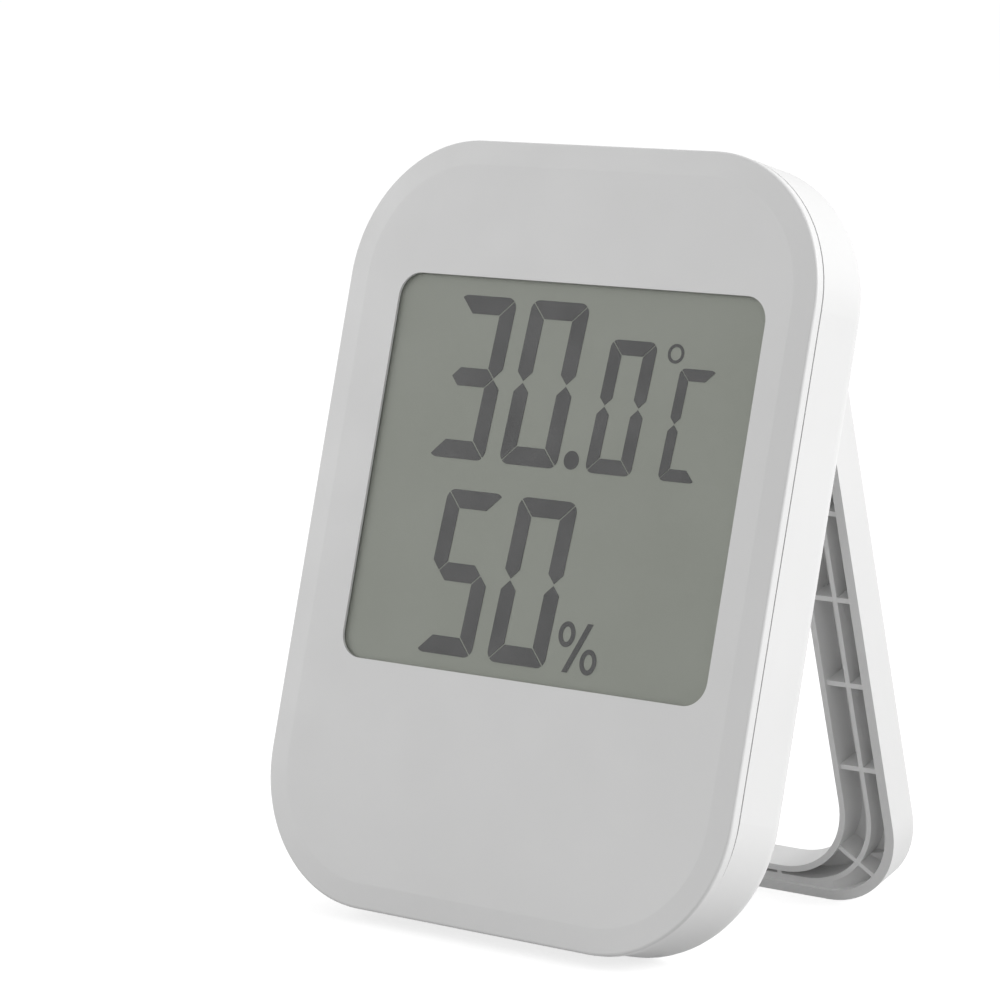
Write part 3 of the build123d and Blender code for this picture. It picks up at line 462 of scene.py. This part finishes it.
def make_display_film(material):
    """Grey-green ground of the display: it stands for the polariser and the front glass."""
    mesh = round_cornered_sheet()
    place_in_window(mesh, film_depth)
    film = new_piece("display_ground_film", mesh, [material], "case")
    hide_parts("lcd_polariser", "lcd_front_glass")


def make_display_figures(material):
    """The dark figures, brought forward to lie before the grey-green film."""
    mesh = bmesh.new()
    mesh.from_mesh(nodes["lcd_segments"].data)
    bmesh.ops.remove_doubles(mesh, verts=mesh.verts, dist=merge_gap)
    forward = face.to_3x3() @ Vector((0, 0, figures_forward))
    bmesh.ops.translate(mesh, verts=mesh.verts, vec=forward)
    figures = new_piece("display_figures", mesh, [material], "case")
    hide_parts("lcd_segments")


def make_case_screws(material):
    """Four screws with cross recesses, seen from behind."""
    whole = bmesh.new()
    for x_side in (-1, 1):
        for y_side in (-1, 1):
            single = bmesh.new()
            screw_head(single)
            screw_shank(single)
            bmesh.ops.remove_doubles(single, verts=single.verts, dist=merge_gap)
            stop = x_side + 2 * y_side     # each screw's recess stops at its own angle
            turn = Matrix.Rotation(pi, 4, "Y") @ Matrix.Rotation(stop, 4, "Z")
            spot = Matrix.Translation((x_side * screw_right, y_side * screw_up, -screw_seat))
            bmesh.ops.transform(single, matrix=face @ spot @ turn, verts=single.verts)
            data = bpy.data.meshes.new("single_screw")
            single.to_mesh(data)
            single.free()
            whole.from_mesh(data)
            bpy.data.meshes.remove(data)
    smooth_faces(whole)
    screws = new_piece("case_screws_cross", whole, [material], "case")
    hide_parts("case_screws")


def cell_profile():
    """Half outline of the cell as pairs of a length along its axis and a radius."""
    crimp = cell_shoulder - cell_crimp_inset
    nub_end = cell_shoulder + cell_nub_length
    return [
        (cell_base, 0),
        (cell_base, cell_groove_radius - cell_edge),
        (cell_base + cell_groove_depth, cell_groove_radius),
        (cell_base, cell_groove_radius + cell_edge),
        (cell_base, cell_radius - cell_edge),
        (cell_base + cell_edge / 3, cell_radius - cell_edge / 4),
        (cell_base + cell_edge, cell_radius),
        (crimp - cell_crimp_half_width, cell_radius),
        (crimp, cell_radius - cell_crimp_depth),
        (crimp + cell_crimp_half_width, cell_radius),
        (cell_shoulder - cell_edge, cell_radius),
        (cell_shoulder - cell_edge / 3, cell_radius - cell_edge / 4),
        (cell_shoulder, cell_radius - cell_edge),
        (cell_shoulder, cell_groove_radius),
        (cell_shoulder - cell_groove_depth, cell_groove_radius - cell_edge),
        (cell_shoulder - cell_groove_depth, cell_nub_radius),
        (nub_end - cell_nub_edge, cell_nub_radius),
        (nub_end, cell_nub_radius - cell_nub_edge),
        (nub_end, 0),
    ]


def make_battery_cell(sleeve, metal):
    """Turned cell with a bare metal base, a crimp and its plus nub."""
    mesh = bmesh.new()
    line = [mesh.verts.new((along, radius, 0)) for along, radius in cell_profile()]
    edges = [mesh.edges.new(pair) for pair in zip(line, line[1:])]
    bmesh.ops.spin(mesh, geom=line + edges, cent=(0, 0, 0), axis=(1, 0, 0), angle=2 * pi,
                   steps=cell_segments, use_merge=True, use_duplicate=False)
    bmesh.ops.remove_doubles(mesh, verts=mesh.verts, dist=merge_gap)
    bmesh.ops.recalc_face_normals(mesh, faces=mesh.faces)
    smooth_faces(mesh)
    for surface in mesh.faces:
        middle = surface.calc_center_median()
        radius = Vector((0, middle.y, middle.z)).length
        if radius < cell_radius - cell_edge:
            surface.material_index = 1
    spot = Matrix.Translation((0, cell_up, -cell_depth))
    bmesh.ops.transform(mesh, matrix=face @ spot, verts=mesh.verts)
    cell = new_piece("battery_cell_sleeved", mesh, [sleeve, metal], "case")
    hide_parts("battery_cell")


def make_door_ridges(material):
    """Ridges that a fingertip catches in the door's hollow."""
    whole = bmesh.new()
    for i in range(ridge_count):
        bar = bmesh.ops.create_cube(whole, size=1)
        size = Vector((2 * ridge_half_length, 2 * ridge_half_width, 2 * ridge_rise))
        bmesh.ops.scale(whole, verts=bar["verts"], vec=size)
        edges = {edge for vertex in bar["verts"] for edge in vertex.link_edges}
        up = ridge_first_up + i * ridge_pitch
        bmesh.ops.translate(whole, verts=bar["verts"], vec=(0, up, -ridge_floor))
        bmesh.ops.bevel(whole, geom=list(edges), offset=ridge_edge, segments=2, profile=0.5,
                        affect="EDGES", material=-1)
    smooth_faces(whole)
    bmesh.ops.transform(whole, matrix=face, verts=whole.verts)
    ridges = new_piece("door_grip_ridges", whole, [material], "door")


# Studio

def shown_or_plain(tree, plain, shown, output):
    """Shows one shader to the camera, to gloss and through glass, and lights with another."""
    path = tree.nodes.new("ShaderNodeLightPath")
    gloss = tree.nodes.new("ShaderNodeMath")
    gloss.operation = "MAXIMUM"
    seen = tree.nodes.new("ShaderNodeMath")
    seen.operation = "MAXIMUM"
    mix = tree.nodes.new("ShaderNodeMixShader")
    tree.links.new(path.outputs["Is Glossy Ray"], gloss.inputs[0])
    tree.links.new(path.outputs["Is Transmission Ray"], gloss.inputs[1])
    tree.links.new(path.outputs["Is Camera Ray"], seen.inputs[0])
    tree.links.new(gloss.outputs["Value"], seen.inputs[1])
    tree.links.new(seen.outputs["Value"], mix.inputs["Fac"])
    tree.links.new(plain, mix.inputs[1])
    tree.links.new(shown, mix.inputs[2])
    tree.links.new(mix.outputs["Shader"], output.inputs["Surface"])


def floor_finish():
    """Pale matt floor that shows white with the object's soft shadow."""
    material = bpy.data.materials.new("floor_pale")
    material.use_nodes = True
    tree = material.node_tree
    tree.nodes.clear()
    output = tree.nodes.new("ShaderNodeOutputMaterial")
    plain = tree.nodes.new("ShaderNodeBsdfDiffuse")
    plain.inputs["Color"].default_value = (floor_plain, floor_plain, floor_plain, 1)
    surface = tree.nodes.new("ShaderNodeBsdfDiffuse")
    surface.inputs["Color"].default_value = (floor_shown, floor_shown, floor_shown, 1)
    glow = tree.nodes.new("ShaderNodeEmission")
    glow.inputs["Strength"].default_value = floor_glow
    shown = tree.nodes.new("ShaderNodeAddShader")
    tree.links.new(surface.outputs["BSDF"], shown.inputs[0])
    tree.links.new(glow.outputs["Emission"], shown.inputs[1])
    shown_or_plain(tree, plain.outputs["BSDF"], shown.outputs["Shader"], output)
    return material


def make_floor():
    """Plain pale floor under the object."""
    mesh = bmesh.new()
    bmesh.ops.create_grid(mesh, x_segments=1, y_segments=1, size=floor_half)
    data = bpy.data.meshes.new("floor")
    mesh.to_mesh(data)
    mesh.free()
    data.materials.append(floor_finish())
    floor = bpy.data.objects.new("floor", data)
    bpy.context.scene.collection.objects.link(floor)


def make_world():
    """Even light from all round, and a white background."""
    world = bpy.data.worlds.new("studio")
    bpy.context.scene.world = world
    world.use_nodes = True
    tree = world.node_tree
    tree.nodes.clear()
    output = tree.nodes.new("ShaderNodeOutputWorld")
    light = tree.nodes.new("ShaderNodeBackground")
    light.inputs["Color"].default_value = (1, 1, 1, 1)
    light.inputs["Strength"].default_value = world_light
    white = tree.nodes.new("ShaderNodeBackground")
    white.inputs["Color"].default_value = (1, 1, 1, 1)
    white.inputs["Strength"].default_value = 1
    shown_or_plain(tree, light.outputs["Background"], white.outputs["Background"], output)


def soft_lamp(name, place, size, power):
    """A square area lamp that looks at the object."""
    data = bpy.data.lights.new(name, "AREA")
    data.shape = "SQUARE"
    data.size = size
    data.energy = power
    lamp = bpy.data.objects.new(name, data)
    lamp.location = place
    lamp.rotation_mode = "QUATERNION"
    lamp.rotation_quaternion = (Vector(lamp_target) - Vector(place)).to_track_quat("-Z", "Y")
    bpy.context.scene.collection.objects.link(lamp)


def make_camera():
    """Camera at the photograph's viewing angle."""
    data = bpy.data.cameras.new("camera")
    data.lens = view_lens
    data.sensor_width = sensor_width
    data.clip_start = clip_near
    data.clip_end = clip_far
    camera = bpy.data.objects.new("camera", data)
    turn = Matrix.Rotation(view_azimuth, 4, "Z")
    turn = turn @ Matrix.Rotation(radians(90) - view_elevation, 4, "X")
    back = Matrix.Translation((-view_left, view_rise, view_distance))
    camera.matrix_world = Matrix.Translation(face.translation) @ turn @ back
    bpy.context.scene.collection.objects.link(camera)
    bpy.context.scene.camera = camera


finishes = make_finishes()
for row in frame["record"]["subparts"]:
    finish_node(row["node"], finishes[row["material_slot"]])

make_window_sheet(finishes["clear_lens"])
make_display_film(display_ground())
make_display_figures(finishes["segment_ink"])
make_case_screws(finishes["screw_steel"])
make_battery_cell(finishes["cell_can"], finishes["contact_steel"])
make_door_ridges(finishes["white_plastic"])

make_floor()
make_world()
soft_lamp("key_lamp", key_place, key_size, key_power)
soft_lamp("fill_lamp", fill_place, fill_size, fill_power)
make_camera()
bpy.context.scene.view_settings.view_transform = "Standard"
